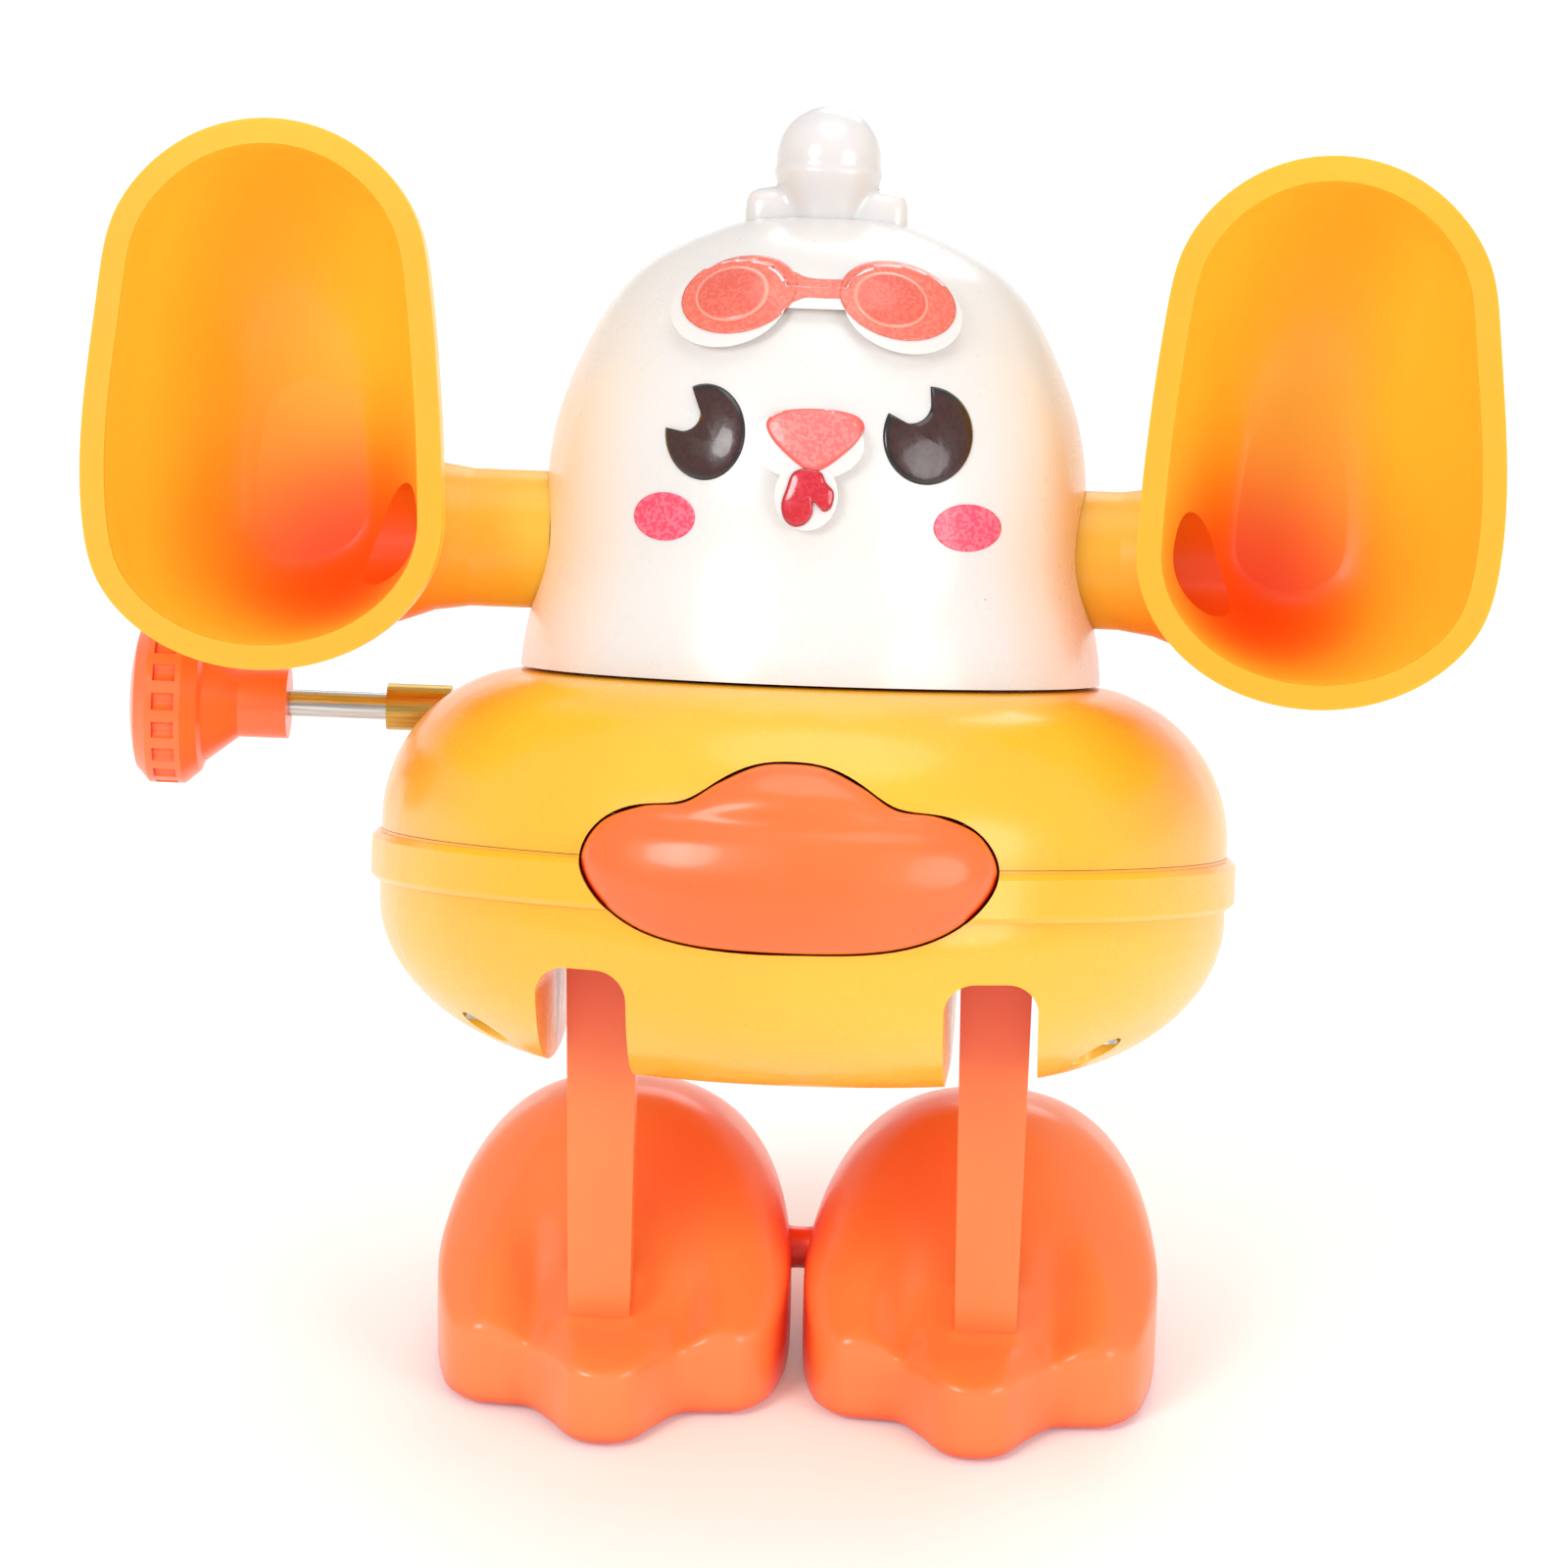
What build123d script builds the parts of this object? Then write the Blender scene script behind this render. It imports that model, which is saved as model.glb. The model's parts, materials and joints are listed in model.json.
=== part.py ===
"""Wind-up hopping chicken in a duck swim ring.

Millimetres. The body (head, ring, arms, clockwork) is drawn upright, with x to the viewer's right, y away
from the viewer and z up from the ring's flat bottom. It is then leaned back about the leg axle, because the
toy stands that way on its flat soles. The legs and feet are drawn standing on the ground, z = 0.
"""
from build123d import *
from math import atan2, cos, degrees, pi, radians, sin, sqrt
import os

os.makedirs("parts", exist_ok=True)

# ---- the toy as a whole
LEAN = 22.0             # how far the body leans back from its legs, degrees
PIVOT_UP = 47.0         # leg axle above the ground
PIVOT_BACK = -0.8       # leg axle along y in the finished part, which centres it on its origin
CLEAR = 0.05            # running clearance of a shaft in its hole, on the radius
GAP = 0.2               # gap between mouldings that don't touch

# ---- swim ring
RING_HALF_WIDTH = 35.9
RING_HEIGHT = 33.4
RING_WALL = 1.5
BAND_LOW, BAND_HIGH, BAND_PROUD = 15.2, 19.2, 0.8
RING_SEAM = 19.5         # the shells meet just above the band
TOP_ROUND = 13.0        # radius of the shoulder
SOLE_ROUND = (20.0, 14.0)   # half axes of the ring's lower edge
RING_OPENING = 21.5     # radius of the hole under the head

# ---- head
HEAD_WALL = 1.2
HEAD_BASE = RING_HEIGHT + GAP
HEAD_TOP = 72.3

# ---- legs and their slots
LEG_SPACING = 16.8      # from the middle to each leg
SLOT_WIDTH, SLOT_TOP = 7.7, 10.1
PIVOT = (0.0, 12.5)     # leg axle (y, z) in the body
LEG_AXLE_R = 1.5
LEG_TOP_WIDTH, LEG_ROOT_WIDTH, LEG_THICK = 6.2, 5.2, 4.0
FOOT_SPACING = 16.1
FOOT_HALF_WIDTH = 15.5
FOOT_FRONT, FOOT_BACK, FOOT_HIGH = -9.5, 32.0, 22.0
SOLE_THICK, SOLE_SHOWS = 1.5, 0.6

# ---- arms
SHOULDER = (0.0, 44.2)  # arm axle (y, z) in the body
ARM_AXLE_R = 1.5
ARM_FLOAT = -1.6        # the arms and their axle lie this far to the left within their end play
ARM_TILT = 1.0          # the raised arms tip back by this much
SCOOP_SPACING = 43.8
SCOOP_LEAN = 1.5        # each scoop leans outwards
MOUTH = -17.0           # plane of the scoop's mouth, along y
SCOOP_WALL = 2.0
TUBE_R, TUBE_BORE = 5.85, 4.4

# ---- clockwork
MODULE = 0.5
GREAT, CRANK_PINION, CRANK_WHEEL, ESCAPE_PINION = 36, 12, 20, 10
SPRING_SHAFT = (7.0, 29.2)      # winding stem (y, z) in the body
CRANK_BACK = -1.5               # crank arbor along y
CRANK_THROW = 1.8
STEM_R = 1.15
ARBOR_R = 0.8
PLATE_IN, PLATE_THICK = 9.5, 1.2
TEETH_OF_RATCHET = 12
KNOB_END, KNOB_R, HUB_END, HUB_R = -58.5, 7.25, -45.0, 3.1
FLUTES = 18


def from_centre(start, reach, towards):
    """The point at a distance from start, at an angle in degrees measured from +y towards +z."""
    return (start[0] + reach * cos(radians(towards)), start[1] + reach * sin(radians(towards)))


CRANK_REACH = MODULE * (GREAT + CRANK_PINION) / 2
CRANK = (CRANK_BACK, SPRING_SHAFT[1] - sqrt(CRANK_REACH**2 - (SPRING_SHAFT[0] - CRANK_BACK) ** 2))
ESCAPE = from_centre(CRANK, MODULE * (CRANK_WHEEL + ESCAPE_PINION) / 2, 146)
PALLET = from_centre(ESCAPE, 5.4, 90)


# ---- helpers
def rod(radius, x_from, x_to, at):
    """A round bar along x; at is its (y, z)."""
    low, high = min(x_from, x_to), max(x_from, x_to)
    plane = Plane(origin=(low, *at), x_dir=(0, 1, 0), z_dir=(1, 0, 0))
    return extrude(plane * Circle(radius), high - low)


def block(x, y, z):
    """A box from three (low, high) pairs."""
    size = [high - low for low, high in (x, y, z)]
    return Pos(*[(low + high) / 2 for low, high in (x, y, z)]) * Box(*size)


def on_side(x):
    """A plane across x, with local x along y and local y along z."""
    return Plane(origin=(x, 0, 0), x_dir=(0, 1, 0), z_dir=(1, 0, 0))


def facing(y):
    """A plane facing the viewer, with local x along x and local y along z."""
    return Plane(origin=(0, y, 0), x_dir=(1, 0, 0), z_dir=(0, -1, 0))


def closed_curve(points):
    return make_face(Spline(*points, periodic=True))


def moved_in(points, inset):
    """A closed loop's points, each moved square to the loop towards its inside; the loop runs anticlockwise."""
    moved = []
    for i, (x, y) in enumerate(points):
        before, after = points[i - 1], points[(i + 1) % len(points)]
        along = (after[0] - before[0], after[1] - before[1])
        length = sqrt(along[0] ** 2 + along[1] ** 2)
        moved.append((x - along[1] / length * inset, y + along[0] / length * inset))
    return moved


def both_sides(points):
    """A left-right symmetric loop from the points of its right half, lowest point first."""
    left = [(-x, z) for x, z in reversed(points) if x > 0]
    return list(points) + left


def twin(part):
    """The same part on the other side of the toy."""
    return mirror(part, about=Plane.YZ)


def stand(part):
    """Leans a part of the body back about the leg axle and puts it at its height above the ground."""
    leaned = part.rotate(Axis((0, *PIVOT), (1, 0, 0)), -LEAN)
    return Pos(0, PIVOT_BACK - PIVOT[0], PIVOT_UP - PIVOT[1]) * leaned


def ground(part):
    """Puts a part of the legs, drawn with the axle at y = 0, where it stands."""
    return Pos(0, PIVOT_BACK, 0) * part


def save(name, part):
    part.label = name
    export_step(part, f"parts/{name}.step")


# ---- swim ring
def ring_solid(inset=0.0):
    """The ring's outer form, shrunk by inset; the band is left off."""
    half, low = RING_HALF_WIDTH - inset, inset
    high = RING_HEIGHT - inset
    side_a, side_b = SOLE_ROUND[0] - inset, SOLE_ROUND[1] - inset
    round_top = TOP_ROUND - inset
    flat_low, flat_high = half - side_a, half - round_top
    profile = make_face(
        Line((0, low), (flat_low, low))
        + EllipticalCenterArc((flat_low, low + side_b), side_a, side_b, -90, arc_size=90)
        + Line((half, low + side_b), (half, high - round_top))
        + CenterArc((flat_high, high - round_top), round_top, 0, 90)
        + Line((flat_high, high), (0, high))
        + Line((0, high), (0, low))
    )
    return revolve(Plane.XZ * profile, Axis.Z)


def ring_band():
    middle, rise = (BAND_LOW + BAND_HIGH) / 2, BAND_HIGH - BAND_LOW
    inner, outer = RING_HALF_WIDTH - 0.5, RING_HALF_WIDTH + BAND_PROUD
    strip = Pos((inner + outer) / 2, middle) * Rectangle(outer - inner, rise)
    strip = chamfer(strip.vertices().sort_by(Axis.X)[-2:], 0.45)
    return revolve(Plane.XZ * strip, Axis.Z)


BILL = both_sides([
    (0, 12.4), (7.3, 12.7), (12.1, 13.9), (15.4, 16.2), (16.9, 19.2), (15.4, 22.2), (12.1, 23.7), (8.6, 24.2),
    (5.8, 25.9), (2.8, 27.3), (0, 27.6),
])
BILL_PROUD = 2.2
RING_BOSSES = [(x, y) for x in (-25.5, 25.5) for y in (-14.0, 14.0)]
BOSS_SPLIT = 12.0


def bill_prism(grow):
    """The bill's outline run back into the ring, grown by a gap when it is the opening for it."""
    outline = facing(-31) * closed_curve(moved_in(BILL, -grow))
    return extrude(outline, 12) + extrude(outline, -5)


def slot(width, top, length):
    """A leg slot along y, open below, with rounded top corners."""
    cut = Pos(0, top / 2 - 2) * Rectangle(width, top + 4)
    cut = fillet(cut.vertices().sort_by(Axis.Y)[-2:], width / 3)
    return extrude(facing(length / 2) * cut, length)


def ring_shells():
    outside = ring_solid() + ring_band()
    inside = ring_solid(RING_WALL)
    walls = outside - inside - bill_prism(GAP) - Pos(0, 0, RING_HEIGHT) * Cylinder(RING_OPENING, 10)
    upper = walls & block((-50, 50), (-50, 50), (RING_SEAM, 50))
    lower = walls & block((-50, 50), (-50, 50), (-5, RING_SEAM - 0.05))
    for x, y in RING_BOSSES:
        post = Pos(x, y, 0) * extrude(Circle(2.6), RING_HEIGHT) & outside
        upper += post & block((-50, 50), (-50, 50), (BOSS_SPLIT + 0.1, 50))
        lower += post & block((-50, 50), (-50, 50), (0, BOSS_SPLIT))
    for side in (-1, 1):
        tunnel = block((side * LEG_SPACING - 5.1, side * LEG_SPACING + 5.1), (-40, 40), (0, SLOT_TOP + 0.6))
        lower += tunnel & ring_solid(0.3)
    for y in (-8.0, 8.0):
        rib = block((-11.0, 11.0), (y - 1, y + 1), (0.5, PLATE_LOW - 0.1))
        lower += rib
    for side in (-1, 1):
        place = Pos(side * LEG_SPACING, 0, 0)
        lower -= place * slot(SLOT_WIDTH, SLOT_TOP, 80)
        lower -= place * block((-3.6, 3.6), (-4.0, 7.0), (SLOT_TOP - 2, SLOT_TOP + 3))
    for x, y in RING_BOSSES:
        lower -= Pos(x, y, -2) * extrude(Circle(1.0), BOSS_SPLIT + 4)
        lower -= Pos(x, y, -2) * extrude(Circle(2.0), 8)
        upper -= Pos(x, y, 0) * extrude(Circle(0.9), BOSS_SPLIT + 9)
    upper -= rod(STEM_R + 0.9, -45, -20, SPRING_SHAFT)
    return upper, lower


def ring_screws():
    screw = Pos(0, 0, 5) * extrude(Circle(0.8), 14) + Pos(0, 0, 4.4) * extrude(Circle(1.7), 1.6)
    return Compound([(Pos(x, y, 0) * screw).solid() for x, y in RING_BOSSES])


def bill():
    proud = ring_solid(-BILL_PROUD) - ring_solid(RING_WALL)
    return proud & bill_prism(0) & block((-30, 30), (-45, -5), (0, 40))


# ---- head
HEAD_LINE = [(24.6, 0.0), (24.2, 3.4), (23.1, 9.0), (22.9, 14.6), (22.2, 21.0), (19.5, 28.2), (15.6, 33.8), (9.0, 37.5)]


def head_solid(grow=0.0):
    """The bell of the head, grown or shrunk; its curve runs from the base to the crown."""
    rise = HEAD_TOP - HEAD_BASE
    up = (rise + grow) / rise
    points = [(r + grow, HEAD_BASE + z * up) for r, z in HEAD_LINE] + [(0, HEAD_TOP + grow)]
    profile = make_face(
        Spline(*points, tangents=[(-0.05, 1), (-1, 0)])
        + Line((0, HEAD_TOP + grow), (0, HEAD_BASE))
        + Line((0, HEAD_BASE), points[0])
    )
    return revolve(Plane.XZ * profile, Axis.Z)


def raised(outline, proud):
    """A relief on the face: the outline, seen from the front, standing proud of the head."""
    prism = extrude(facing(-3) * outline, 30)
    return prism & (head_solid(proud) - head_solid(-HEAD_WALL / 2))


def face_reliefs():
    lens = [Pos(side * 7.2, 64.7) * Rot(0, 0, -side * 17) * Ellipse(5.0, 3.5) for side in (-1, 1)]
    goggles = lens[0] + lens[1] + Pos(0, 65.4) * Rectangle(8, 1.8)
    beak = Pos(0, 53.4) * Ellipse(4.6, 3.0)
    wattle = Pos(0, 49.2) * Ellipse(2.6, 2.9)
    return raised(goggles, 0.9) + raised(beak + wattle, 1.1)


SHOULDER_HOLE = TUBE_R + 0.3
HEAD_BOSSES = [(-13.0, 56.0), (13.0, 56.0), (-17.3, 36.0), (17.3, 36.0)]


def head_shells():
    outside = head_solid()
    shell = outside - head_solid(-HEAD_WALL)
    shell -= rod(SHOULDER_HOLE, -30, 30, SHOULDER)
    shell -= block((-30, 30), (-30, 30), (HEAD_BASE - 5, HEAD_BASE + 0.01))
    front = (shell & block((-40, 40), (-40, -0.03), (30, 90))) + face_reliefs()
    rear = shell & block((-40, 40), (0.03, 40), (30, 90))
    for x, z in HEAD_BOSSES:
        post = Pos(x, 0, z) * Rot(90, 0, 0) * Cylinder(2.3, 60) & outside
        hole = Pos(x, 0, z) * Rot(90, 0, 0) * Cylinder(0.95, 14)
        recess = Pos(x, 0, z) * Rot(90, 0, 0) * Cylinder(1.9, 60) & block((-40, 40), (7, 60), (0, 90))
        front += (post & block((-40, 40), (-30, -0.2), (30, 90))) - hole
        rear = rear + (post & block((-40, 40), (0.2, 30), (30, 90))) - hole - recess
    return front, rear


def head_screws():
    screws = []
    for x, z in HEAD_BOSSES:
        shank = Pos(x, 1.2, z) * Rot(90, 0, 0) * Cylinder(0.8, 12.4)
        head = Pos(x, 7.7, z) * Rot(90, 0, 0) * Cylinder(1.6, 1.4)
        screws.append((shank + head).solid())
    return Compound(screws)


def comb():
    bulb = Pos(0, 0, 77.4) * Sphere(4.55) + Pos(0, 0, 73.0) * Cylinder(3.6, 7)
    bumps = [Pos(side * 4.6, 0, 72.4) * Sphere(3.0) for side in (-1, 1)]
    return bulb + bumps[0] + bumps[1] - head_solid(0.02)


# ---- arms, drawn about the arm axle at y = z = 0
MOUTH_LOW = (15.0, 12.4)    # half axes of the mouth's lower end
MOUTH_TOP_R = 13.8
MOUTH_LOW_UP, MOUTH_TOP_UP = 0.8, 20.4
DEEPEST = (-3.0, 2.0)       # where the scoop is deepest, from its own middle


def mouth_curve(y, share, inset):
    """The scoop's section in a plane across y, scaled towards its deepest point and shrunk by inset."""
    points = []
    steps = 9
    for i in range(steps):
        turn = pi + pi * i / (steps - 1)
        points.append((
            (MOUTH_LOW[0] - inset) * cos(turn),
            MOUTH_LOW_UP + (MOUTH_LOW[1] - inset) * sin(turn),
        ))
    for i in range(steps):
        turn = pi * i / (steps - 1)
        points.append((
            (MOUTH_TOP_R - inset) * cos(turn),
            MOUTH_TOP_UP + (MOUTH_TOP_R - inset) * sin(turn),
        ))
    spots = [
        (DEEPEST[0] + (x - DEEPEST[0]) * share, y, DEEPEST[1] + (z - DEEPEST[1]) * share) for x, z in points
    ]
    return Wire([Spline(*spots, periodic=True)])


def scoop_form():
    """A closed cup from its mouth to its round back."""
    sections = [(MOUTH, 1.0), (MOUTH + 4, 0.995), (-7.0, 0.95), (-1.0, 0.85), (4.0, 0.68), (7.5, 0.4)]
    return Solid.make_loft([mouth_curve(y, share, 0) for y, share in sections])


def inner_form():
    """The hollow of the cup, which runs out past the mouth."""
    sections = [(MOUTH - 1, 1.0), (MOUTH + 4, 0.99), (-7.0, 0.94), (-2.0, 0.83), (2.5, 0.65), (5.5, 0.36)]
    return Solid.make_loft([mouth_curve(y, share, SCOOP_WALL) for y, share in sections])


def arm():
    """The right arm: scoop, flared neck and hollow tube."""
    place = Pos(SCOOP_SPACING, 0, 0) * Rot(0, SCOOP_LEAN, 0)
    cup = place * scoop_form()
    hollow = place * inner_form()
    tube = rod(TUBE_R, 20.6, SCOOP_SPACING - 4, (0, 0))
    neck = revolve(
        Plane.XY * make_face(Polyline((27.5, 0), (27.5, TUBE_R), (30.5, 6.3), (33.5, 7.4), (35, 7.4), (35, 0), close=True)),
        Axis.X,
    )
    whole = cup + tube + neck
    whole = whole - hollow - rod(TUBE_BORE, 25, SCOOP_SPACING, (0, 0)) - rod(ARM_AXLE_R, 20, 24, (0, 0))
    return whole


def raise_arm(part):
    """From the arm axle's own frame into the body."""
    return Pos(ARM_FLOAT, *SHOULDER) * Rot(-ARM_TILT, 0, 0) * part


# ---- clockwork
def involute(base_r, r):
    """How far an involute from base_r has turned where it reaches r, in radians."""
    roll = sqrt(max(r * r / base_r**2 - 1, 0))
    return roll - atan2(roll, 1)


def gear(teeth, x_from, x_to, at, turned, bore):
    """A spur gear across x with a tooth centred at the angle turned, in degrees from +y towards +z."""
    pitch_r = MODULE * teeth / 2
    base_r = pitch_r * cos(radians(20))
    tip_r, root_r = pitch_r + 0.85 * MODULE, pitch_r - 1.2 * MODULE
    play = 0.05 / pitch_r
    half = pi / (2 * teeth) - play + involute(base_r, pitch_r)
    start_r = max(base_r, root_r)
    radii = [start_r + (tip_r - start_r) * i / 3 for i in range(4)]
    points = []
    for tooth in range(teeth):
        centre = radians(turned) + 2 * pi * tooth / teeth
        flank = [(r, half - involute(base_r, r)) for r in radii]
        flank = [(root_r, flank[0][1])] * (start_r > root_r) + flank
        for r, angle in flank:
            points.append((r * cos(centre - angle), r * sin(centre - angle)))
        for r, angle in reversed(flank):
            points.append((r * cos(centre + angle), r * sin(centre + angle)))
    plane = Plane(origin=(x_from, *at), x_dir=(0, 1, 0), z_dir=(1, 0, 0))
    blank = make_face(Polyline(*points, close=True)) - Circle(bore)
    return extrude(plane * blank, x_to - x_from)


def direction(start, end):
    return degrees(atan2(end[1] - start[1], end[0] - start[0]))


def great_wheel():
    wheel = gear(GREAT, -1.5, 0.1, SPRING_SHAFT, direction(SPRING_SHAFT, CRANK), STEM_R + CLEAR)
    for i in range(5):
        wheel -= rod(1.7, -3, 3, from_centre(SPRING_SHAFT, 5.0, 90 + 72 * i))
    return wheel


PAWL_AT = from_centre(SPRING_SHAFT, 7.4, 54)
RATCHET_TIP, RATCHET_ROOT = 4.4, 3.5


def ratchet_wheel():
    points = []
    for i in range(TEETH_OF_RATCHET):
        turn = radians(30 + 360 * i / TEETH_OF_RATCHET)
        points.append((RATCHET_TIP * cos(turn), RATCHET_TIP * sin(turn)))
        points.append((RATCHET_ROOT * cos(turn), RATCHET_ROOT * sin(turn)))
    plane = Plane(origin=(-2.8, *SPRING_SHAFT), x_dir=(0, 1, 0), z_dir=(1, 0, 0))
    return extrude(plane * (make_face(Polyline(*points, close=True)) - Circle(STEM_R)), 1.1)


def pawl():
    """A short lever on its post; its nose rests just off the ratchet."""
    nose = from_centre(SPRING_SHAFT, RATCHET_TIP + 0.25, 22)
    heel = from_centre(SPRING_SHAFT, RATCHET_TIP + 1.2, 20)
    over = from_centre(PAWL_AT, 1.3, 10)
    under = from_centre(PAWL_AT, 1.3, 190)
    lever = make_face(Polyline(nose, heel, over, under, close=True))
    body = extrude(on_side(-2.8) * lever, 1.0) + rod(1.3, -2.8, -1.8, PAWL_AT)
    return body - rod(0.6 + CLEAR, -4, 0, PAWL_AT)


def mainspring():
    """A flat spring wound between the stem and the edge of its space."""
    turns, inner_r, outer_r, strip = 6.0, STEM_R, 8.6, 0.3
    steps = 12

    def at(step, out):
        turn = 2 * pi * step / steps
        r = inner_r + (outer_r - inner_r) * step / (turns * steps) + out
        return (r * cos(turn), r * sin(turn))

    last = int(turns * steps)
    inside = Spline(*[at(i, 0) for i in range(last + 1)])
    outside = Spline(*[at(i, strip) for i in range(last + 1)])
    coil = make_face(inside + outside + Line(at(0, 0), at(0, strip)) + Line(at(last, 0), at(last, strip)))
    plane = Plane(origin=(-8.2, *SPRING_SHAFT), x_dir=(0, 1, 0), z_dir=(1, 0, 0))
    return extrude(plane * coil, 5.0) - rod(STEM_R + CLEAR, -9, 0, SPRING_SHAFT)


def crank_disc():
    disc = rod(3.2, 5.8, 6.9, CRANK) - rod(ARBOR_R, 5, 8, CRANK)
    return disc + rod(0.6, 6.9, 7.2, from_centre(CRANK, CRANK_THROW, 45))


def escape_wheel():
    points = []
    teeth = 10
    for i in range(teeth):
        turn = 2 * pi * i / teeth
        points.append((3.0 * cos(turn), 3.0 * sin(turn)))
        points.append((2.0 * cos(turn + 0.1), 2.0 * sin(turn + 0.1)))
    plane = Plane(origin=(4.4, *ESCAPE), x_dir=(0, 1, 0), z_dir=(1, 0, 0))
    star = extrude(plane * make_face(Polyline(*points, close=True)), 1.0)
    collar = rod(1.4, 3.6, 4.4, ESCAPE)
    pinion = gear(
        ESCAPE_PINION, 1.8, 3.6, ESCAPE, direction(ESCAPE, CRANK) + 180 / ESCAPE_PINION, ARBOR_R
    )
    return star + collar + pinion - rod(ARBOR_R, 0, 7, ESCAPE)


def pallet():
    """The rocking governor: a hub with two horns astride the escape wheel."""
    hub = rod(1.4, 4.2, 5.6, PALLET)
    for towards in (-50, -130):
        tip = from_centre(PALLET, 4.0, towards)
        side = from_centre(PALLET, 1.2, towards + 90)
        other = from_centre(PALLET, 1.2, towards - 90)
        hub += extrude(on_side(4.4) * make_face(Polyline(side, tip, other, close=True)), 1.0)
    weight = from_centre(PALLET, 2.6, 90)
    return hub + rod(1.6, 4.4, 5.4, weight) - rod(0.6 + CLEAR, 3, 7, PALLET)


PLATE_LOW = 8.6
PLATE = [(-11.8, PLATE_LOW), (4.0, PLATE_LOW), (12.0, 17.0), (12.0, 33.0), (5.0, 48.4), (-5.0, 48.4), (-11.8, 34.0)]
PILLARS = [(-9.6, 11.0), (4.5, 11.5), (9.2, 17.6), (-5.6, 40.0)]
PILLAR_R = 1.3


def motor_plate(x_from, x_to, post):
    """One side plate, with its bearings; post is where the arm axle, stem and arbors run."""
    plate = extrude(on_side(x_from) * make_face(Polyline(*PLATE, close=True)), x_to - x_from)
    for radius, at in post:
        plate -= rod(radius, x_from - 1, x_to + 1, at)
    for at in PILLARS:
        plate -= rod(0.85, x_from - 1, x_to + 1, at)
    return plate


def bearings():
    return [
        (LEG_AXLE_R + CLEAR, PIVOT),
        (ARM_AXLE_R + CLEAR, SHOULDER),
        (ARBOR_R + CLEAR, CRANK),
        (ARBOR_R + CLEAR, ESCAPE),
    ]


def winding_knob():
    """A fluted rim, a cone and a hub, with the stem pressed in."""
    rim_end, face = KNOB_END + 4.8, KNOB_END + 0.7
    profile = make_face(
        ThreePointArc((KNOB_END, 0), (KNOB_END + 0.15, KNOB_R / 2), (face, KNOB_R - 1.2))
        + Polyline(
            (face, KNOB_R - 1.2), (KNOB_END + 1.8, KNOB_R), (rim_end, KNOB_R), (rim_end + 1.3, KNOB_R - 1.1),
            (rim_end + 1.6, KNOB_R - 1.9), (HUB_END - 4.2, HUB_R), (HUB_END, HUB_R), (HUB_END, 0), (KNOB_END, 0),
        )
    )
    knob = revolve(Plane.XY * profile, Axis.X)
    for i in range(FLUTES):
        knob -= rod(0.85, KNOB_END + 2.4, rim_end - 0.5, from_centre((0, 0), KNOB_R + 0.35, 360 * i / FLUTES))
    return Pos(0, *SPRING_SHAFT) * knob - rod(STEM_R, KNOB_END + 3, HUB_END + 1, SPRING_SHAFT)


# ---- legs and feet, drawn with the leg axle at y = 0


def leg():
    """The right leg: a flat bar that narrows towards the foot, round at the axle."""
    bar_low, bar_high = 3.0, PIVOT_UP
    sides = make_face(Polyline(
        (-LEG_ROOT_WIDTH / 2, bar_low), (LEG_ROOT_WIDTH / 2, bar_low),
        (LEG_TOP_WIDTH / 2, bar_high), (LEG_TOP_WIDTH / 2, bar_high + 3.2),
        (-LEG_TOP_WIDTH / 2, bar_high + 3.2), (-LEG_TOP_WIDTH / 2, bar_high), close=True,
    ))
    depth = block((-9, 9), (-LEG_THICK / 2, LEG_THICK / 2), (0, PIVOT_UP)) + rod(3.0, -9, 9, (0, PIVOT_UP))
    bar = extrude(facing(10) * sides, 20) & depth
    return Pos(LEG_SPACING, 0, 0) * (bar - rod(LEG_AXLE_R, -9, 9, (0, PIVOT_UP)))


def foot_plan(inset):
    """A webbed three-toed foot from above, toes to the front, with the middle toe longest."""
    half, back, front = FOOT_HALF_WIDTH, FOOT_BACK, FOOT_FRONT
    right = [
        (0, front), (3.6, front + 2.2), (6.4, front + 6.6), (9.2, front + 6.4), (12.6, front + 7.2),
        (half - 0.2, front + 11), (half, front + 18), (half - 1.8, back - 9), (9.2, back - 2.2), (0, back),
    ]
    return closed_curve(moved_in(both_sides(right), inset))


def foot_form(inset=0.0):
    """Toes in front and a high round heel: what three silhouettes have in common."""
    plan = extrude(foot_plan(inset), FOOT_HIGH + 1)
    top, back = FOOT_HIGH - inset, FOOT_BACK - inset + 0.2
    side = make_face(
        Spline(
            (FOOT_FRONT + inset - 0.2, 7.2 - inset), (FOOT_FRONT + 3, 9.0 - inset), (1, 10.0 - inset),
            (6, 14.2 - inset), (12, 19.4 - inset), (19, top), (26, 19.6 - inset), (30.6 - inset, 13), (back, 5),
        )
        + Polyline((back, 5), (back, 0), (FOOT_FRONT + inset - 0.2, 0), (FOOT_FRONT + inset - 0.2, 7.2 - inset))
    )
    half = FOOT_HALF_WIDTH - inset
    front = make_face(
        Spline(
            (-half, 9.5), (-half + 1.8, 15.4 - inset), (-half + 7, 20.6 - inset), (0, top + 0.2),
            (half - 7, 20.6 - inset), (half - 1.8, 15.4 - inset), (half, 9.5),
        )
        + Polyline((half, 9.5), (half, 0), (-half, 0), (-half, 9.5))
    )
    return plan & extrude(on_side(-20) * side, 40) & extrude(facing(40) * front, 60)


def foot():
    """The right foot's upper: a hollow shell with a socket for the leg."""
    shell = foot_form() - foot_form(1.6)
    shell -= block((-20, 20), (-20, 40), (-1, SOLE_SHOWS))
    post = Pos(LEG_SPACING - FOOT_SPACING, 0, 0) * block((-4.2, 4.2), (-3.4, 3.4), (SOLE_THICK + 0.1, 14))
    shell += post & foot_form(0.4)
    return Pos(FOOT_SPACING, 0, 0) * shell


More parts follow.
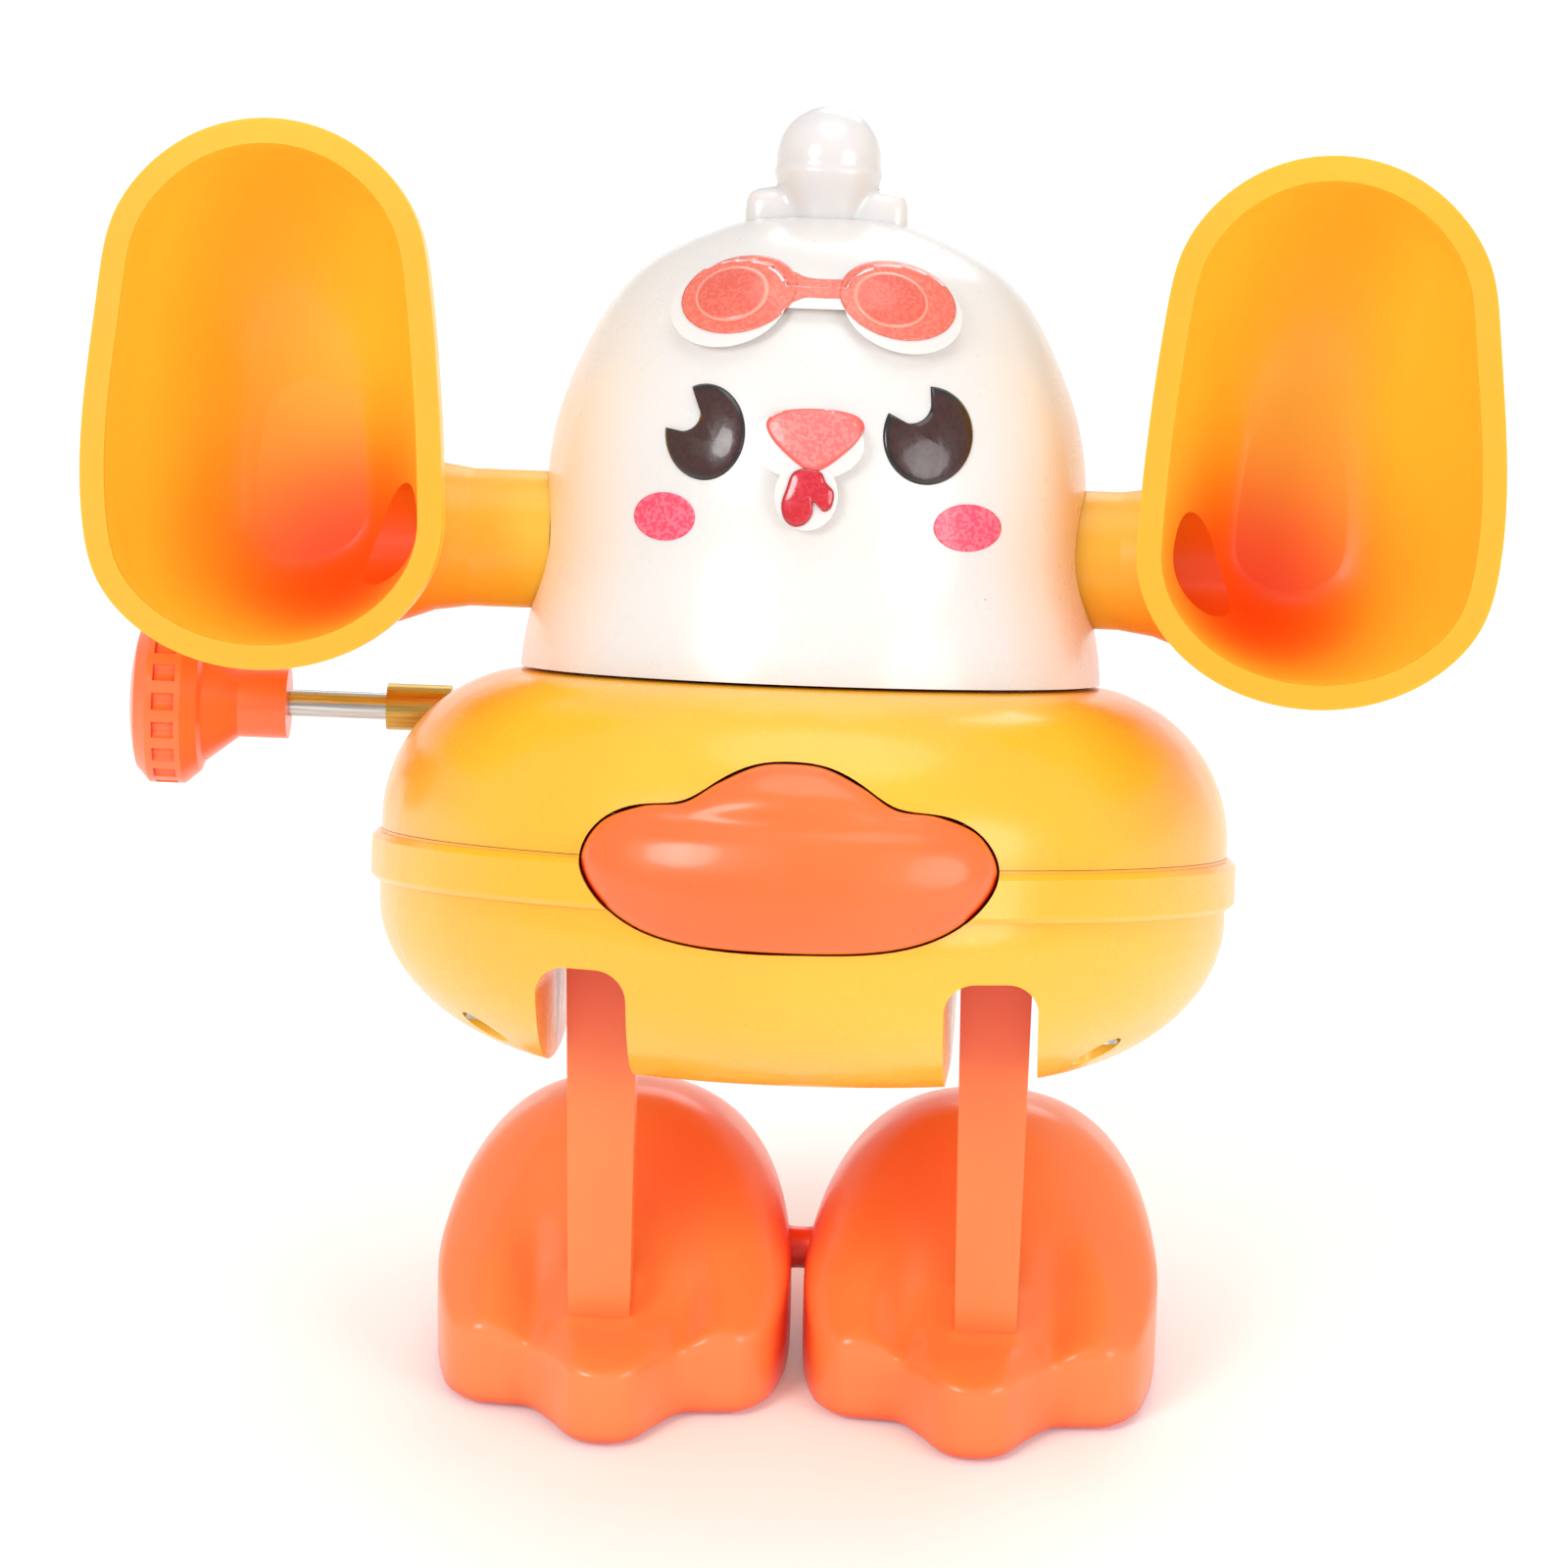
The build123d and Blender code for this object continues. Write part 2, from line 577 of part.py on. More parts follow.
def feet():
    """Both feet and the web that joins them are one moulding."""
    web = block((-1.4, 1.4), (12, 15.5), (6.4, 10.2))
    pair = foot() + twin(foot()) + web
    for side in (-1, 1):
        width = LEG_TOP_WIDTH / 2
        pair -= block(
            (side * LEG_SPACING - width, side * LEG_SPACING + width),
            (-LEG_THICK / 2, LEG_THICK / 2), (2.9, 20),
        )
    return pair


def sole():
    return Pos(FOOT_SPACING, 0, 0) * extrude(foot_plan(2.1), SOLE_THICK)


def leg_yoke():
    """The lever on the leg axle whose fork follows the crank pin."""
    hub = rod(3.0, 7.5, 9.1, PIVOT)
    towards = direction(PIVOT, CRANK)
    reach = sqrt((CRANK[0] - PIVOT[0]) ** 2 + (CRANK[1] - PIVOT[1]) ** 2)
    lever = block((7.5, 9.1), (PIVOT[0] + 1, PIVOT[0] + reach + 3.4), (PIVOT[1] - 2.1, PIVOT[1] + 2.1))
    fork = block((7, 10), (PIVOT[0] + reach - 3.2, PIVOT[0] + reach + 6), (PIVOT[1] - 0.65, PIVOT[1] + 0.65))
    lever = (lever - fork).rotate(Axis((0, *PIVOT), (1, 0, 0)), towards)
    return hub + lever - rod(LEG_AXLE_R, 7, 10, PIVOT)


# ---- everything, piece by piece
ring_upper, ring_lower = ring_shells()
head_front, head_rear = head_shells()
right_arm = arm()
right_leg = leg()
right_sole = sole()

body_parts = {
    "ring_upper": ring_upper,
    "ring_lower": ring_lower,
    "ring_screws": ring_screws(),
    "bill": bill(),
    "head_front": head_front,
    "head_rear": head_rear,
    "head_screws": head_screws(),
    "comb": comb(),
    "right_arm": raise_arm(right_arm),
    "left_arm": raise_arm(twin(right_arm)),
    "arm_axle": Pos(ARM_FLOAT, 0, 0) * rod(ARM_AXLE_R, -24, 24, SHOULDER),
    "arm_axle_collars": Compound([
        (rod(2.6, side * 10.9, side * 12.4, SHOULDER) - rod(ARM_AXLE_R + CLEAR, -30, 30, SHOULDER)).solid()
        for side in (-1, 1)
    ]),
    "winding_knob": winding_knob(),
    "winding_stem": rod(STEM_R, KNOB_END + 3, PLATE_IN + PLATE_THICK, SPRING_SHAFT),
    "stem_bush": rod(STEM_R + 0.85, -36.5, -31.0, SPRING_SHAFT) - rod(STEM_R + CLEAR, -40, -20, SPRING_SHAFT),
    "mainspring": mainspring(),
    "great_wheel": great_wheel(),
    "pawl_post": rod(0.6, -3.0, -1.5, PAWL_AT),
    "pawl": pawl(),
    "ratchet_wheel": ratchet_wheel(),
    "crank_arbor": rod(ARBOR_R, -PLATE_IN - PLATE_THICK, 6.9, CRANK),
    "crank_pinion": gear(
        CRANK_PINION, -1.9, 0.5, CRANK, direction(CRANK, SPRING_SHAFT) + 180 / CRANK_PINION, ARBOR_R
    ),
    "crank_wheel": gear(CRANK_WHEEL, 1.9, 3.3, CRANK, direction(CRANK, ESCAPE), ARBOR_R),
    "crank_disc": crank_disc(),
    "escape_arbor": rod(ARBOR_R, -PLATE_IN - PLATE_THICK, PLATE_IN + PLATE_THICK, ESCAPE),
    "escape_wheel": escape_wheel(),
    "pallet": pallet(),
    "pallet_pin": rod(0.6, 3.4, PLATE_IN, PALLET),
    "left_motor_plate": motor_plate(
        -PLATE_IN - PLATE_THICK, -PLATE_IN, bearings() + [(STEM_R + CLEAR, SPRING_SHAFT)]
    ),
    "right_motor_plate": motor_plate(
        PLATE_IN, PLATE_IN + PLATE_THICK, bearings() + [(STEM_R + CLEAR, SPRING_SHAFT)]
    ),
    "motor_pillars": Compound([
        (rod(PILLAR_R, -PLATE_IN, PLATE_IN, at) - rod(0.6, -PLATE_IN, PLATE_IN, at)).solid() for at in PILLARS
    ]),
    "motor_screws": Compound([
        (rod(0.6, side * (PLATE_IN - 3), side * (PLATE_IN + PLATE_THICK), at)
         + rod(1.2, side * (PLATE_IN + PLATE_THICK), side * (PLATE_IN + PLATE_THICK + 0.8), at)).solid()
        for side in (-1, 1) for at in PILLARS
    ]),
}
leg_parts = {
    "right_leg": right_leg,
    "left_leg": twin(right_leg),
    "feet": feet(),
    "right_sole": right_sole,
    "left_sole": twin(right_sole),
}
for name, part in body_parts.items():
    save(name, stand(part))
for name, part in leg_parts.items():
    save(name, ground(part))
save("leg_axle", stand(rod(LEG_AXLE_R, -LEG_SPACING - 3.4, LEG_SPACING + 3.4, PIVOT)))
save("leg_yoke", stand(leg_yoke()))
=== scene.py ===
"""Finished looks of the wind-up hopping chick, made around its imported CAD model."""

import json
from math import cos, exp, hypot, pi, radians, sin, sqrt

import bmesh
import bpy
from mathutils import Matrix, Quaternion, Vector
from mathutils.bvhtree import BVHTree


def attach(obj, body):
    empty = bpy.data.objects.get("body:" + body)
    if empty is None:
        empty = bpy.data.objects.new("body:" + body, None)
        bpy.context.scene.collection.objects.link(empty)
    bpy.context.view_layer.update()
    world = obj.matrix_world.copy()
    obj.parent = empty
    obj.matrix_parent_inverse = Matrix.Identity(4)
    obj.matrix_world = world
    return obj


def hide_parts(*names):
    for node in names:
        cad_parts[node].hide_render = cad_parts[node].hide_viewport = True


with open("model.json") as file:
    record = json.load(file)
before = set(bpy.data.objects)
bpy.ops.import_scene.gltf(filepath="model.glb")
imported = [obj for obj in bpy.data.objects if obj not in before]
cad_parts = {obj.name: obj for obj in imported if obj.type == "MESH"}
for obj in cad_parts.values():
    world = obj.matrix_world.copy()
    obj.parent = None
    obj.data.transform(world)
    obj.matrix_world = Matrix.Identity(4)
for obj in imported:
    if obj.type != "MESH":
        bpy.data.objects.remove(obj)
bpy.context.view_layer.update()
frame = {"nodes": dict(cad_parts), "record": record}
nodes = frame["nodes"]

MM = 0.001
LEAN = radians(22)                      # the body leans back over its legs
PIVOT_Z = 12.5                          # leg axle above the body's own base, mm
PIVOT_BACK, PIVOT_UP = -0.8, 47.0       # leg axle in the row frame, mm


def body_point(x, y, z):
    """A point of the body, drawn upright in mm, as it stands in the row frame in metres."""
    rise = z - PIVOT_Z
    return Vector((
        x, y * cos(LEAN) + rise * sin(LEAN) + PIVOT_BACK, rise * cos(LEAN) - y * sin(LEAN) + PIVOT_UP,
    )) * MM


def body_direction(x, y, z):
    """A direction of the upright body, as it points in the row frame."""
    return Vector((x, y * cos(LEAN) + z * sin(LEAN), z * cos(LEAN) - y * sin(LEAN)))


FORWARD, INTO = body_direction(0, -1, 0), body_direction(0, 1, 0)


# ---- materials

def srgb(red, green, blue):
    """A screen colour, 0 to 255, as a linear one."""
    def linear(value):
        share = value / 255
        return share / 12.92 if share <= 0.04045 else ((share + 0.055) / 1.055) ** 2.4
    return (linear(red), linear(green), linear(blue), 1.0)


class Finish:
    """A material, with short ways to add its nodes."""

    def __init__(self, name):
        self.material = bpy.data.materials.new(name)
        self.material.use_nodes = True
        self.tree = self.material.node_tree
        self.shader = self.tree.nodes["Principled BSDF"]
        self.point = self.tree.nodes.new("ShaderNodeTexCoord").outputs["Object"]

    def node(self, kind, settings=None, **inputs):
        """A new node; an underscore in an input's name stands for a space."""
        made = self.tree.nodes.new(kind)
        for name, value in (settings or {}).items():
            setattr(made, name, value)
        for name, value in inputs.items():
            self.feed(made.inputs[name.replace("_", " ")], value)
        return made

    def feed(self, socket, value):
        """Link a socket to another, or set it."""
        if isinstance(value, bpy.types.NodeSocket):
            self.tree.links.new(value, socket)
        else:
            socket.default_value = value

    def set(self, **inputs):
        """Feed the shader's own sockets."""
        for name, value in inputs.items():
            self.feed(self.shader.inputs[name.replace("_", " ")], value)

    def noise(self, scale, detail=2.0, stretch=None):
        """Cloudy noise, with about scale clouds to the metre."""
        where = self.point
        if stretch:
            where = self.node("ShaderNodeVectorMath", {"operation": "MULTIPLY"}, Vector=where).outputs[0]
            where.node.inputs[1].default_value = stretch
        return self.node("ShaderNodeTexNoise", Vector=where, Scale=scale, Detail=detail).outputs["Fac"]

    def spread(self, value, low, high, to_low=0.0, to_high=1.0):
        """A value eased from one span onto another."""
        made = self.node("ShaderNodeMapRange", {"interpolation_type": "SMOOTHSTEP"}, Value=value)
        for name, number in (("From Min", low), ("From Max", high), ("To Min", to_low), ("To Max", to_high)):
            made.inputs[name].default_value = number
        return made.outputs["Result"]

    def product(self, a, b):
        made = self.node("ShaderNodeMath", {"operation": "MULTIPLY"})
        self.feed(made.inputs[0], a)
        self.feed(made.inputs[1], b)
        return made.outputs[0]

    def mix(self, share, a, b):
        """Colour a where share is 0 and colour b where it is 1."""
        made = self.node("ShaderNodeMix", {"data_type": "RGBA"})
        for index, value in ((0, share), (6, a), (7, b)):
            self.feed(made.inputs[index], value)
        return made.outputs[2]

    def near(self, point, reach, fade):
        """1 inside reach of a point, falling to 0 over fade more, in metres."""
        gap = self.node("ShaderNodeVectorMath", {"operation": "DISTANCE"}, Vector=self.point)
        gap.inputs[1].default_value = point
        return self.spread(gap.outputs["Value"], reach, reach + fade, 1.0, 0.0)

    def along(self, vector, direction, low, high):
        """0 where a vector reaches less than low along a direction, and 1 where it reaches more than high."""
        dot = self.node("ShaderNodeVectorMath", {"operation": "DOT_PRODUCT"}, Vector=vector)
        dot.inputs[1].default_value = direction
        return self.spread(dot.outputs["Value"], low, high)

    def facing(self, direction, low, high):
        """1 where the surface faces a direction, 0 where it faces away."""
        return self.along(self.node("ShaderNodeTexCoord").outputs["Normal"], direction, low, high)

    def bump(self, *layers):
        """Stacked relief: (height, depth in metres) pairs."""
        normal = None
        for height, depth in layers:
            made = self.node("ShaderNodeBump", Height=height, Distance=depth)
            if normal:
                self.feed(made.inputs["Normal"], normal)
            normal = made.outputs["Normal"]
        self.set(Normal=normal)


def plastic(name, base, shade, rough=(0.24, 0.36), coat=0.3, glow=0.12, crease_shade=None, tints=None):
    """Moulded plastic: cloudy colour, sink marks, faint grain and a soft gloss.

    Where a deeper colour and its reach from a corner, in metres, are given, that colour is painted into corners and
    creases as shade; tints gives (mask, colour) pairs, some of them painted shade and glow.
    """
    made = Finish(name)
    colour = made.mix(made.spread(made.noise(34), 0.3, 0.75), base, shade)
    for mask, tint in tints(made) if tints else ():
        colour = made.mix(mask, colour, tint)
    # painted shade: the colour deepens in corners and creases, found by ambient occlusion
    if crease_shade:
        deep, reach = crease_shade
        open_side = made.node("ShaderNodeAmbientOcclusion", {"samples": 8}, Distance=reach).outputs["AO"]
        colour = made.mix(made.spread(open_side, 0.1, 0.85), deep, colour)
    gloss = made.spread(made.noise(210, 4), 0.3, 0.75, *rough)
    made.set(Base_Color=colour, Roughness=gloss, IOR=1.49, Coat_Weight=coat, Coat_Roughness=0.12)
    made.set(Subsurface_Weight=glow, Subsurface_Scale=0.0025, Subsurface_Radius=(1.0, 0.45, 0.2))
    sink_marks, grain = made.noise(60, 1), made.noise(1500)
    made.bump((sink_marks, 0.05 * MM), (grain, 0.006 * MM))
    return made.material


def printed(name, colour, light, edge=None, rough=0.3, coat=0.4, dots=0.4):
    """Pad printing: a fine speckle of two inks, with a rim of the edge colour where edge is given: a darker ink on
    most prints, a painted highlight on the goggle lens.
    """
    made = Finish(name)
    cells = made.node("ShaderNodeTexVoronoi", Vector=made.point, Scale=4300.0).outputs["Color"]
    speckle = made.spread(made.node("ShaderNodeSeparateColor", Color=cells).outputs[0], 0.45, 0.6)
    ink = made.mix(made.product(speckle, dots), colour, light)
    ink = made.mix(made.product(made.noise(500), 0.35), ink, colour)
    if edge:
        share = made.node("ShaderNodeAttribute", {"attribute_name": "share"}).outputs["Fac"]
        ink = made.mix(made.spread(share, 0.86, 0.95), ink, edge)
    made.set(Base_Color=ink, Roughness=made.spread(made.noise(900), 0.3, 0.7, rough, rough + 0.12))
    made.set(Coat_Weight=coat, Coat_Roughness=0.08)
    made.bump((made.noise(2600), 0.012 * MM))
    return made.material


def metal(name, base, shade, rough, stretch=(1.0, 60.0, 60.0)):
    """Drawn or turned metal: streaks one way, and a few duller patches."""
    made = Finish(name)
    streaks, patches = made.noise(160, 3, stretch), made.noise(120, 3)
    made.set(Base_Color=made.mix(made.spread(streaks, 0.35, 0.7), base, shade), Metallic=1.0)
    made.set(Roughness=made.spread(patches, 0.3, 0.75, rough, rough + 0.15))
    made.bump((streaks, 0.008 * MM))
    return made.material


ARM_FLOAT = -1.6            # the arms rest this far to the viewer's left, mm
MOUTH_Y = -17.0             # plane of the scoops' mouths in the body, mm
SPECKS = ((-16.5, 37.6, 0.16), (9.2, 60.4, 0.14), (14.8, 41.0, 0.12), (-6.5, 43.5, 0.1))   # x, z, radius, mm
HEAD_LOW_R, HEAD_HIGH_R = 23.2, 20.4    # the head's radius at the specks below and above z = 50, mm


def scoop_tone_and_painted_glow(made):
    """The scoops are lighter behind their rims, and have a painted glow of bounced light, deeper orange, low down
    inside, beside the arm.
    """
    mouth = body_point(0, MOUTH_Y, 0).dot(INTO)
    yield made.along(made.point, INTO, mouth + 0.4 * MM, mouth + 1.0 * MM), srgb(255, 204, 58)
    inside = made.facing(FORWARD, -0.25, 0.15)
    for side in (-1, 1):
        root = body_point(side * 37.0 + ARM_FLOAT, 6, 39.5)
        # painted glow of light bounced low in each bowl, beside the arm
        yield made.product(made.near(root, 0.004, 0.018), made.product(inside, 0.8)), srgb(255, 104, 10)
        yield made.product(made.near(root, 0.002, 0.013), made.product(inside, 0.85)), srgb(255, 70, 6)


def ring_shoulder_shade(made):
    """The ring's shoulders get painted shade, a deeper orange, on both sides of the head."""
    for side in (-1, 1):
        shoulder = body_point(side * 29, -12, 28)
        # painted shade on the shoulder beside the head
        yield made.product(made.near(shoulder, 0.002, 0.013), 0.5), srgb(255, 140, 12)


def head_shade_and_specks(made):
    """The white head has painted peach shade beside the arms, and a few moulding specks."""
    for side in (-1, 1):
        # painted peach shade beside each arm
        beside_arm = body_point(side * 25, -3, 45)
        yield made.product(made.near(beside_arm, 0.004, 0.017), 0.7), srgb(254, 208, 178)
    for x, z, size in SPECKS:
        depth = sqrt((HEAD_LOW_R if z < 50 else HEAD_HIGH_R) ** 2 - x * x)
        yield made.near(body_point(x, -depth, z), size * MM, 0.08 * MM), srgb(120, 92, 84)


def leg_painted_shade(made):
    """The legs and feet get painted shade, redder, between the feet, behind the legs and at the legs' tops."""
    # painted shade between the feet, at the web
    yield made.product(made.near((0, 0.013, 0.008), 0.002, 0.007), 0.85), srgb(250, 30, 20)
    for side in (-1, 1):
        behind, top = Vector((side * 12, 12, 14)) * MM, Vector((side * 16.8, -1, 43)) * MM
        # painted shade behind each leg, and at its top under the shell
        yield made.product(made.near(behind, 0.001, 0.010), 0.55), srgb(255, 62, 30)
        yield made.product(made.near(top, 0.001, 0.013), 0.5), srgb(245, 72, 40)


SATIN = (0.3, 0.42)
SCOOP_RIM = srgb(255, 172, 36)
yellow = plastic("yellow_moulding", srgb(255, 190, 52), srgb(255, 180, 40), tints=ring_shoulder_shade)
arm_yellow = plastic(
    "yellow_scoop", SCOOP_RIM, SCOOP_RIM, rough=(0.34, 0.46), coat=0.08, glow=0.2, tints=scoop_tone_and_painted_glow,
)
# the orange parts and the legs get painted shade in their creases
orange = plastic(
    "orange_moulding", srgb(255, 116, 52), srgb(255, 104, 42), rough=SATIN, crease_shade=(srgb(232, 30, 8), 0.003),
)
leg_orange = plastic(
    "orange_leg", srgb(255, 136, 72), srgb(255, 124, 58), rough=SATIN, crease_shade=(srgb(250, 70, 36), 0.005),
    tints=leg_painted_shade,
)
white = plastic(
    "white_head", srgb(232, 227, 224), srgb(226, 220, 216), rough=(0.26, 0.36), glow=0.2, tints=head_shade_and_specks,
)
pearl = plastic("comb_white", srgb(228, 225, 225), srgb(220, 216, 215), rough=(0.16, 0.26), glow=0.35)
acetal = plastic("gear_acetal", srgb(236, 234, 226), srgb(224, 222, 212), rough=(0.4, 0.55), coat=0.0)
by_slot = {
    "white_plastic": white, "comb_plastic": pearl, "yellow_plastic": yellow, "orange_plastic": orange,
    "gear_plastic": acetal,
    "polished_steel": metal("polished_steel", srgb(214, 208, 202), srgb(176, 168, 162), 0.16),
    "spring_steel": metal("spring_steel", srgb(120, 122, 132), srgb(84, 86, 98), 0.3),
    "screw_steel": metal("screw_steel", srgb(196, 196, 196), srgb(160, 160, 158), 0.32, (30.0, 30.0, 30.0)),
    "brass": metal("brass", srgb(214, 178, 96), srgb(188, 148, 70), 0.28),
}
by_node = {"left_arm": arm_yellow, "right_arm": arm_yellow, "left_leg": leg_orange, "right_leg": leg_orange}
for part in frame["record"]["subparts"]:
    obj = nodes[part["node"]]
    material = by_node.get(part["node"], by_slot[part["material_slot"]])
    if not obj.material_slots:
        obj.data.materials.append(material)
    for slot in obj.material_slots:
        slot.material = material


# ---- shape helpers

def slope(value, low, high):
    """An eased rise from 0 at low to 1 at high."""
    t = min(1.0, max(0.0, (value - low) / (high - low)))
    return t * t * (3 - 2 * t)


def hill(value, middle, width):
    """A rounded hill, 1 high at its middle."""
    return exp(-(((value - middle) / width) ** 2))


def soft_union(a, b, blend):
    """The lesser of two distances, rounded where they are within blend of each other."""
    share = max(0.0, min(1.0, 0.5 + 0.5 * (b - a) / blend))
    return b + (a - b) * share - blend * share * (1 - share)


def circle(count):
    """Angles evenly round a turn."""
    return [2 * pi * i / count for i in range(count)]


def smooth_loop(points, count):
    """A closed smooth curve through the points, with count points on it."""
    loop, size = [], len(points)
    for i in range(count):
        place = i * size / count
        k, t = int(place), place - int(place)
        a, b, c, d = (Vector(points[(k + step) % size]) for step in (-1, 0, 1, 2))
        loop.append(0.5 * (
            2 * b + (c - a) * t + (2 * a - 5 * b + 4 * c - d) * t**2 + (3 * b - a - 3 * c + d) * t**3
        ))
    return loop


def mirrored(points, about=0.0):
    """Half an outline, from one end to the other on one side, made whole."""
    return points + [(2 * about - x, z) for x, z in reversed(points[1:-1])]


def drawn_in(loop, hub, share):
    """A loop drawn in to a share of its size about its hub, and only the hub at 0."""
    return [hub.lerp(p, share) for p in loop] if share else [hub]


def piece(name, rings, material, body, shares=None):
    """A closed skin through rings of points, in metres; a ring of one point closes an end."""
    corners, faces, starts = [], [], []
    for ring in rings:
        starts.append(len(corners))
        corners.extend(ring)
    for k in range(len(rings) - 1):
        here, there = starts[k], starts[k + 1]
        count = max(len(rings[k]), len(rings[k + 1]))
        for i in range(count):
            j = (i + 1) % count
            if len(rings[k]) == 1:
                faces.append((here, there + i, there + j))
            elif len(rings[k + 1]) == 1:
                faces.append((here + i, there, here + j))
            else:
                faces.append((here + i, there + i, there + j, here + j))
    mesh = bpy.data.meshes.new(name)
    mesh.from_pydata([tuple(c) for c in corners], [], faces)
    shell = bmesh.new()
    shell.from_mesh(mesh)
    bmesh.ops.recalc_face_normals(shell, faces=shell.faces)
    shell.to_mesh(mesh)
    shell.free()
    mesh.shade_smooth()
    mesh.materials.append(material)
    if shares:
        layer = mesh.attributes.new("share", "FLOAT", "POINT")
        layer.data.foreach_set("value", [share for share, ring in zip(shares, rings) for _ in ring])
    made = bpy.data.objects.new(name, mesh)
    bpy.context.scene.collection.objects.link(made)
    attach(made, body)
    return made


# ---- prints on the face, drawn from the front in mm as (x, z) of the upright body

LOOP = 144                  # points round a print
PRINT_RINGS = 20
PRINT_SINKS = 0.15          # how far a print's underside lies below the head's surface, mm
face = BVHTree.FromObject(nodes["head_front"], bpy.context.evaluated_depsgraph_get())


def on_face(x, z, lift):
    """The point of the head seen from the front at x, z, lifted off the surface by lift mm."""
    hit = face.ray_cast(body_point(x, -60, z), INTO)[0]
    reach = hypot(x, 20)
    return hit + body_direction(x / reach, -20 / reach, 0.15) * lift * MM


def print_on(name, loop, hub, material, lift=0.05, dome=0.0):
    """A print as a thin skin on the head, sunk a little into it below; dome lifts its middle."""
    shares = [k / PRINT_RINGS for k in range(PRINT_RINGS + 1)]

    def layer(share, height):
        return [on_face(*p, height) for p in drawn_in(loop, Vector(hub), share)]

    skin = [layer(share, lift + dome * sqrt(1 - share**2)) for share in shares]
    under = [layer(share, -PRINT_SINKS) for share in reversed(shares)]
    piece(name, skin + under, material, "body", shares + shares[::-1])


def ellipse(x, z, wide, high, tilt=0.0):
    """An ellipse about (x, z), given by its half axes and tilted by degrees."""
    turn = radians(tilt)
    return [
        Vector((
            x + wide * cos(a) * cos(turn) - high * sin(a) * sin(turn),
            z + wide * cos(a) * sin(turn) + high * sin(a) * cos(turn),
        ))
        for a in circle(LOOP)
    ]


def bitten(x, z, wide, high, bite, size, hub):
    """An ellipse about (x, z) with a round bite out of its edge; bite and hub are given from (x, z)."""
    loop, gap = [], Vector(bite) - Vector(hub)
    for angle in circle(LOOP):
        way = (cos(angle), sin(angle))
        # distance from the hub to the ellipse along this way
        a = (way[0] / wide) ** 2 + (way[1] / high) ** 2
        b = hub[0] * way[0] / wide**2 + hub[1] * way[1] / high**2
        c = (hub[0] / wide) ** 2 + (hub[1] / high) ** 2 - 1
        reach = (-b + sqrt(b * b - a * c)) / a
        # nearer if the bite lies in this way
        ahead = gap.dot(Vector(way))
        aside = gap.length_squared - ahead**2
        if ahead > 0 and aside < size**2:
            reach = min(reach, ahead - sqrt(size**2 - aside))
        loop.append(Vector((x + hub[0] + reach * way[0], z + hub[1] + reach * way[1])))
    return loop


eye_ink = printed("eye_print", srgb(60, 18, 10), srgb(38, 10, 6), srgb(6, 4, 4), rough=0.22, coat=0.55, dots=0.8)
rim_ink = printed("goggle_print", srgb(228, 104, 84), srgb(244, 148, 128))
# the lens print's lighter rim is a painted highlight
lens_ink_and_highlight = printed("goggle_lens_print_and_highlight", srgb(222, 92, 74), srgb(240, 132, 112), srgb(248, 160, 140))
beak_ink = printed("beak_print", srgb(240, 112, 108), srgb(252, 160, 152), srgb(236, 92, 84), dots=0.5)
wattle_ink = printed("wattle_print", srgb(200, 12, 36), srgb(226, 60, 80), srgb(176, 4, 24), rough=0.14, coat=0.8)
cheek_ink = printed("cheek_print", srgb(232, 66, 98), srgb(246, 128, 146), dots=0.7)

EYE_HUB = (0.9, -0.9)       # from an eye's middle, away from its highlight
for name, x, z, wide, high, bite, size in (
    ("left_eye", -8.65, 54.05, 3.36, 3.97, (-1.98, 1.54), 1.54),
    ("right_eye", 9.7, 54.4, 3.65, 4.05, (-1.46, 2.59), 1.62),
):
    hub = (x + EYE_HUB[0], z + EYE_HUB[1])
    print_on(name, bitten(x, z, wide, high, bite, size, EYE_HUB), hub, eye_ink, dome=0.4)

STRAP_MIDDLE = 0.85
strap = mirrored([
    (STRAP_MIDDLE, 67.0), (2.6, 67.1), (3.9, 67.5), (4.2, 66.2), (3.8, 65.0), (2.6, 65.4), (STRAP_MIDDLE, 65.4),
], STRAP_MIDDLE)
print_on("goggle_strap_print", smooth_loop(strap, LOOP), (STRAP_MIDDLE, 66.2), rim_ink, lift=0.04)
for name, x, z, tilt in (("left", -6.4, 65.5, 15), ("right", 6.7, 65.45, -15)):
    lens_x = x - 0.55
    print_on(f"{name}_goggle_rim", ellipse(x, z, 4.9, 3.15, tilt), (x, z), rim_ink, lift=0.07)
    print_on(f"{name}_goggle_lens", ellipse(lens_x, z, 3.15, 2.25, tilt), (lens_x, z), lens_ink_and_highlight, lift=0.1, dome=0.4)

BEAK_MIDDLE = 0.5
beak = mirrored([
    (BEAK_MIDDLE, 56.3), (2.6, 56.15), (4.0, 55.7), (4.5, 54.8), (3.8, 53.5), (2.3, 52.1), (1.2, 51.35),
    (BEAK_MIDDLE, 51.2),
], BEAK_MIDDLE)
print_on("beak_print", smooth_loop(beak, LOOP), (BEAK_MIDDLE, 54.3), beak_ink, dome=0.25)
wattle = [
    (0.0, 51.4), (1.15, 51.1), (1.6, 50.3), (2.25, 49.5), (2.1, 48.3), (1.5, 47.9), (0.9, 48.4), (0.6, 48.6),
    (0.55, 47.6), (-0.05, 46.8), (-0.95, 46.6), (-1.75, 47.2), (-2.0, 48.4), (-1.65, 49.7), (-1.15, 51.0),
]
print_on("wattle_print", smooth_loop(wattle, LOOP), (0.1, 49.4), wattle_ink, lift=0.08, dome=0.35)
for name, x, z, wide, high in (("left_cheek", -11.8, 46.95, 2.6, 2.0), ("right_cheek", 13.2, 46.9, 2.75, 1.95)):
    print_on(name, ellipse(x, z, wide, high), (x, z), cheek_ink)


